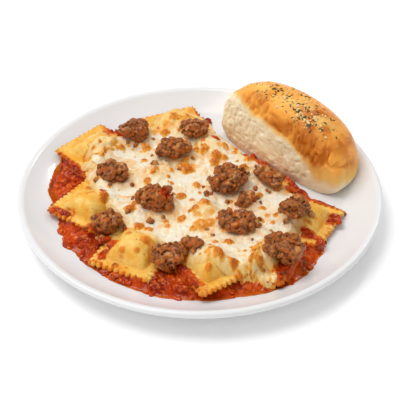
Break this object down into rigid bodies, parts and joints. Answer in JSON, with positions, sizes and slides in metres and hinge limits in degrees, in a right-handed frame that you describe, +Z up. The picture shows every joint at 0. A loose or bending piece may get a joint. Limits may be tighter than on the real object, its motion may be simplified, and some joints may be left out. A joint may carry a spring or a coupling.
{
  "type": "plate of baked ravioli",
  "caption": "Fluted square ravioli in chunky tomato sauce under melted browned cheese with sausage pieces, served on a round white plate with a herb bread roll.",
  "frame": {"origin": "on the table, under the middle of the plate", "axes": "+Z up, -Y towards the diner, +X to the diner's right"},
  "size_m": [0.28, 0.28, 0.0652],
  "materials": {
    "plate": "gloss white glaze",
    "pasta": "soft oily egg pasta",
    "sauce": "wet chunky tomato sauce",
    "cheese": "melted and browned",
    "sausage": "coarse crumbled meat, moist",
    "bread": "baked golden crust, torn pale side"
  },
  "bodies": {
    "root": {"plate": "plate", "ravioli_1": "pasta", "ravioli_2": "pasta", "ravioli_3": "pasta", "ravioli_4": "pasta", "ravioli_5": "pasta", "ravioli_6": "pasta", "ravioli_7": "pasta", "ravioli_8": "pasta", "ravioli_9": "pasta", "ravioli_10": "pasta", "ravioli_11": "pasta", "sauce": "sauce", "cheese": "cheese", "sausage_1": "sausage", "sausage_2": "sausage", "sausage_3": "sausage", "sausage_4": "sausage", "sausage_5": "sausage", "sausage_6": "sausage", "sausage_7": "sausage", "sausage_8": "sausage", "sausage_9": "sausage", "sausage_10": "sausage", "sausage_11": "sausage", "sausage_12": "sausage", "sausage_13": "sausage", "sausage_14": "sausage", "bread_roll": "bread"}
  },
  "joints": []
}
